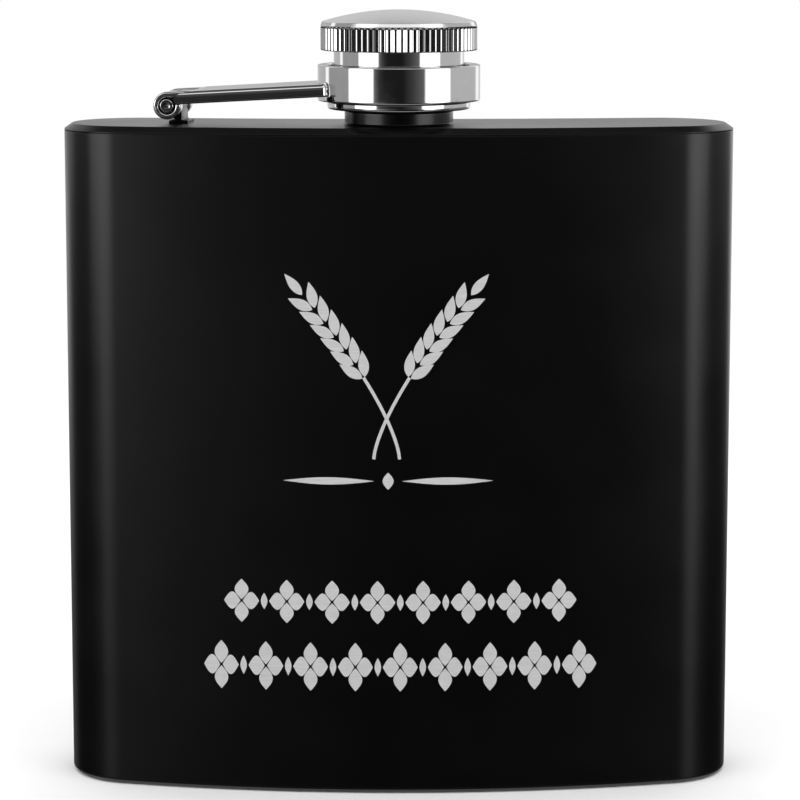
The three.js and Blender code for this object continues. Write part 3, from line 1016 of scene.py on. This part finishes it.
def studio():
    """Plain soft studio light from the walls and ceiling, and a white backdrop."""
    world = bpy.data.worlds.new("studio")
    bpy.context.scene.world = world
    world.use_nodes = True
    nodes, links = world.node_tree.nodes, world.node_tree.links
    nodes.clear()
    direction = nodes.new("ShaderNodeSeparateXYZ")
    links.new(nodes.new("ShaderNodeTexCoord").outputs["Generated"], direction.inputs[0])
    x, y, z = direction.outputs
    azimuth = number(nodes, "ARCTAN2", x, number(nodes, "MULTIPLY", y, -1.0))
    share = number(nodes, "MULTIPLY_ADD", azimuth, 0.5 / math.pi, 0.5)
    fall = smooth_step(nodes, z, -14, -4, 0.16, 1.0)
    low = number(nodes, "MULTIPLY", wall_ramp(nodes, share, WALLS_LOW), fall)
    is_high = smooth_step(nodes, z, -4.2, -3.75, 0.0, 1.0)
    high = number(nodes, "MULTIPLY", wall_ramp(nodes, share, WALLS_HIGH), is_high)
    walls = number(nodes, "MULTIPLY_ADD", low, number(nodes, "SUBTRACT", 1.0, is_high), high)
    rising, falling = smooth_step(nodes, z, 0, 3, 0, 1), smooth_step(nodes, z, 5, 9, 1, 0)
    band = number(nodes, "MULTIPLY", rising, falling)
    behind = smooth_step(nodes, y, 50, 70, 0.0, 1.0)
    low_behind = number(nodes, "MULTIPLY", band, behind)
    dimmed = number(nodes, "MULTIPLY_ADD", low_behind, BACK_LOW - 1.0, 1.0)
    in_front = smooth_step(nodes, y, -15, 0, 1, 0)
    over_boxes = number(nodes, "MULTIPLY", smooth_step(nodes, z, 6, 16, 0, 1), in_front)
    box_tops = number(nodes, "MULTIPLY_ADD", over_boxes, BOX_TOP - 1.0, 1.0)
    dimmed = number(nodes, "MULTIPLY", dimmed, box_tops)
    below_ceiling = number(nodes, "MULTIPLY", dimmed, smooth_step(nodes, z, 36, 55, 1.0, 0.0))
    light = number(nodes, "MULTIPLY", walls, below_ceiling)
    light = number(nodes, "ADD", light, smooth_step(nodes, z, 36, 60, 0.0, OVERHEAD))
    rising, falling = smooth_step(nodes, z, 30, 38, 0, 1), smooth_step(nodes, z, 50, 56, 1, 0)
    strip = number(nodes, "MULTIPLY", rising, falling)
    haze = smooth_step(nodes, z, 1, 12, 0, FRONT_HAZE)
    strip = number(nodes, "MULTIPLY_ADD", strip, FRONT_STRIP, haze)
    light = number(nodes, "MULTIPLY_ADD", strip, in_front, light)
    light = number(nodes, "ADD", light, smooth_step(nodes, z, -50, -30, FLOOR_GLOW, 0.0))
    lit = nodes.new("ShaderNodeBackground")
    links.new(light, lit.inputs["Color"])
    seen = nodes.new("ShaderNodeBackground")
    seen.inputs["Color"].default_value = (BACKDROP, BACKDROP, BACKDROP, 1)
    chosen = nodes.new("ShaderNodeMixShader")
    links.new(nodes.new("ShaderNodeLightPath").outputs["Is Camera Ray"], chosen.inputs["Fac"])
    links.new(lit.outputs[0], chosen.inputs[1])
    links.new(seen.outputs[0], chosen.inputs[2])
    links.new(chosen.outputs[0], nodes.new("ShaderNodeOutputWorld").inputs["Surface"])


def floor_light():
    """A broad soft light over the floor, which polished pieces don't show as a second window."""
    size, watts, height = 3.0, 44.0, 1.6
    data = bpy.data.lights.new("floor_light", "AREA")
    data.shape = "SQUARE"
    data.size = size
    data.energy = watts
    made = bpy.data.objects.new("floor_light", data)
    made.location = (0, 0, height)
    made.visible_glossy = False
    bpy.context.scene.collection.objects.link(made)


# Distances in metres, the pitch down in degrees.
CAMERA = {
    "distance": 0.400,
    "height": 0.1216,
    "pitch": 7.43,
    "lens": 127.8,
    "shift": (0.0014, -0.1295),
}


def camera():
    data = bpy.data.cameras.new("camera")
    data.lens = CAMERA["lens"]
    data.sensor_width = 36.0
    data.shift_x, data.shift_y = CAMERA["shift"]
    data.clip_start = 0.01
    made = bpy.data.objects.new("camera", data)
    made.location = (0, NECK_Y * MM - CAMERA["distance"], CAMERA["height"])
    made.rotation_euler = (math.radians(90 - CAMERA["pitch"]), 0, 0)
    bpy.context.scene.collection.objects.link(made)
    bpy.context.scene.camera = made
    bpy.context.scene.view_settings.view_transform = "Standard"


# ---- The whole scene ----------------------------------------------------------------------------

body_sleeve()
body_plates()
neck()
cap_shell()
cap_sleeve()
thread_liner()
cap_gasket()
retaining_ring()
hinge_pin()
hinge_bracket()
lid_arm()
engraving()
floor()
studio()
floor_light()
camera()
